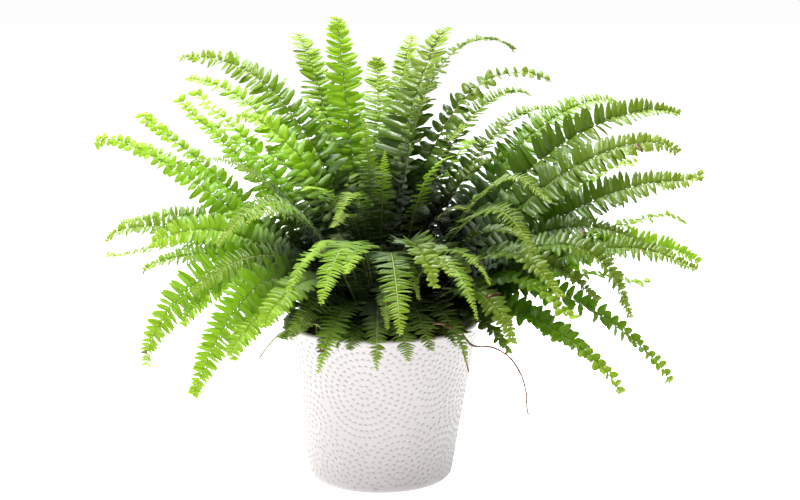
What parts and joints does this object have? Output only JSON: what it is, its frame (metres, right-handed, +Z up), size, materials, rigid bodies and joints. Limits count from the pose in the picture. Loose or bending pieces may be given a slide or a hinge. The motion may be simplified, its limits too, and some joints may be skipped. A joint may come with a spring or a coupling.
{
  "type": "potted fern",
  "caption": "Sword fern with arching, finely cut fronds growing from a low crown in a round tapered pot, with wiry runners over the rim.",
  "frame": {"origin": "centre of the pot's flat foot, on the surface it stands on", "axes": "+Z up along the pot's axis; -Y towards the viewer of the front; +X to that viewer's right, along the plant's widest spread"},
  "size_m": [0.5409, 0.3746, 0.4051],
  "materials": {
    "pot": "satin",
    "soil": "matte",
    "crown": "matte",
    "runner_brown": "matte",
    "runner_green": "matte",
    "frond_fresh": "satin",
    "frond_green": "satin",
    "frond_deep": "satin"
  },
  "bodies": {
    "root": {"pot": "pot", "soil": "soil", "crown": "crown", "runner_1": "runner_brown", "runner_2": "runner_brown", "runner_3": "runner_green", "frond_top_1": "frond_fresh", "frond_top_2": "frond_green", "frond_top_3": "frond_deep", "frond_top_4": "frond_green", "frond_top_5": "frond_deep", "frond_top_6": "frond_deep", "frond_top_7": "frond_deep", "frond_top_8": "frond_green", "frond_top_9": "frond_fresh", "frond_top_10": "frond_fresh", "frond_top_11": "frond_green", "frond_top_12": "frond_fresh", "frond_left_1": "frond_fresh", "frond_left_2": "frond_fresh", "frond_left_3": "frond_fresh", "frond_left_4": "frond_green", "frond_left_5": "frond_deep", "frond_left_6": "frond_green", "frond_left_7": "frond_green", "frond_left_8": "frond_green", "frond_left_9": "frond_fresh", "frond_left_10": "frond_fresh", "frond_left_11": "frond_fresh", "frond_left_12": "frond_green", "frond_left_13": "frond_fresh", "frond_front_1": "frond_fresh", "frond_front_2": "frond_green", "frond_front_3": "frond_green", "frond_front_4": "frond_green", "frond_front_5": "frond_fresh", "frond_front_6": "frond_deep", "frond_front_7": "frond_fresh", "frond_front_8": "frond_fresh", "frond_right_1": "frond_deep", "frond_right_2": "frond_green", "frond_right_3": "frond_deep", "frond_right_4": "frond_green", "frond_right_5": "frond_deep", "frond_right_6": "frond_green", "frond_right_7": "frond_fresh", "frond_right_8": "frond_deep", "frond_right_9": "frond_deep", "frond_right_10": "frond_green", "frond_right_11": "frond_green", "frond_right_12": "frond_deep", "frond_right_13": "frond_deep", "frond_back_1": "frond_green", "frond_back_2": "frond_green", "frond_back_3": "frond_green", "frond_back_4": "frond_green", "frond_back_5": "frond_green", "frond_back_6": "frond_green", "frond_back_7": "frond_green", "frond_back_8": "frond_green"}
  },
  "joints": []
}
